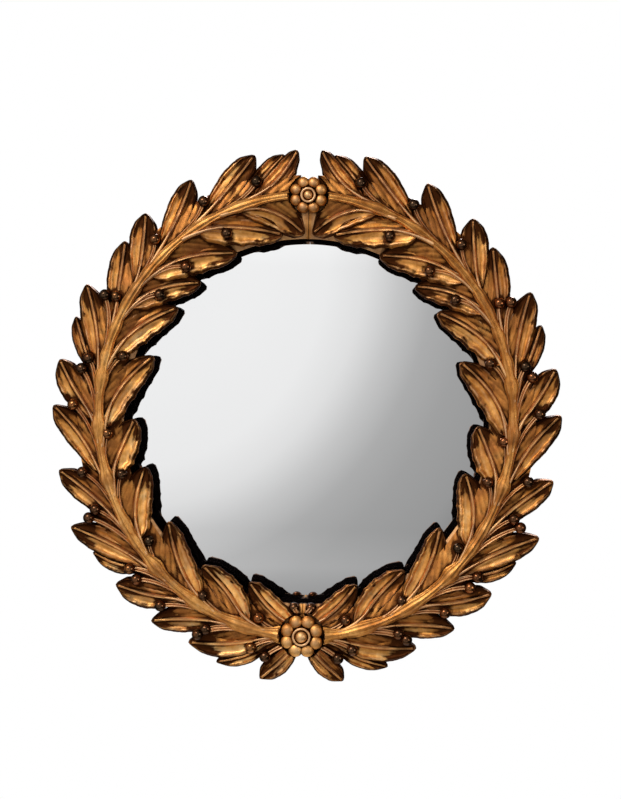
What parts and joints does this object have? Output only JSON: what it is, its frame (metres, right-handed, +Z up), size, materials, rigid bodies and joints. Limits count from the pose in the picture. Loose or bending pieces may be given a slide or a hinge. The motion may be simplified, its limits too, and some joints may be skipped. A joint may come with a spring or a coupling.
{
  "type": "round convex wall mirror",
  "caption": "Round convex mirror in an antique-gold laurel-wreath frame: two leafy branches rise from a rosette to a smaller one over a black ring, with folding hangers behind.",
  "frame": {"origin": "where the mirror's axis meets the wall that it hangs on", "axes": "+Z up, -Y the way the mirror looks, +X to the right of someone facing it"},
  "size_m": [0.5202, 0.0525, 0.5429],
  "materials": {
    "antique_gold": "rubbed antique gold leaf paint over brown",
    "black_wood": "black painted",
    "mirror_glass": "silvered glass",
    "board": "hardboard",
    "packing": "cork",
    "plated_steel": "zinc plated",
    "soft_pad": "matt"
  },
  "bodies": {
    "frame": {"carrier_ring": "black_wood", "convex_glass": "mirror_glass", "packing_blocks": "packing", "backboard": "board", "left_branch": "antique_gold", "right_branch": "antique_gold", "top_rosette": "antique_gold", "bottom_rosette": "antique_gold", "turn_button_screws": "plated_steel", "hanger_screws": "plated_steel", "hanger_strap_left": "plated_steel", "bumper_left": "soft_pad", "hanger_strap_right": "plated_steel", "bumper_right": "soft_pad"},
    "turn_button_top": {"turn_button_top": "plated_steel"},
    "turn_button_lower_left": {"turn_button_lower_left": "plated_steel"},
    "turn_button_lower_right": {"turn_button_lower_right": "plated_steel"},
    "hanger_ring_left": {"hanger_ring_left": "plated_steel"},
    "hanger_ring_right": {"hanger_ring_right": "plated_steel"}
  },
  "joints": [
    {"name": "turn_button_top_turn", "type": "hinge", "parent": "frame", "child": "turn_button_top", "pos_m": [0, -0.0041, 0.21175], "axis": [0, 1, 0], "continuous": true},
    {"name": "turn_button_lower_left_turn", "type": "hinge", "parent": "frame", "child": "turn_button_lower_left", "pos_m": [-0.18338, -0.0041, -0.10587], "axis": [0, 1, 0], "continuous": true},
    {"name": "turn_button_lower_right_turn", "type": "hinge", "parent": "frame", "child": "turn_button_lower_right", "pos_m": [0.18338, -0.0041, -0.10587], "axis": [0, 1, 0], "continuous": true},
    {"name": "hanger_ring_left_fold", "type": "hinge", "parent": "frame", "child": "hanger_ring_left", "pos_m": [-0.18984, -0.00272, 0.09852], "axis": [-1, 0, 0], "range_deg": [0, 165]},
    {"name": "hanger_ring_right_fold", "type": "hinge", "parent": "frame", "child": "hanger_ring_right", "pos_m": [0.18984, -0.00272, 0.09852], "axis": [-1, 0, 0], "range_deg": [0, 165]}
  ]
}
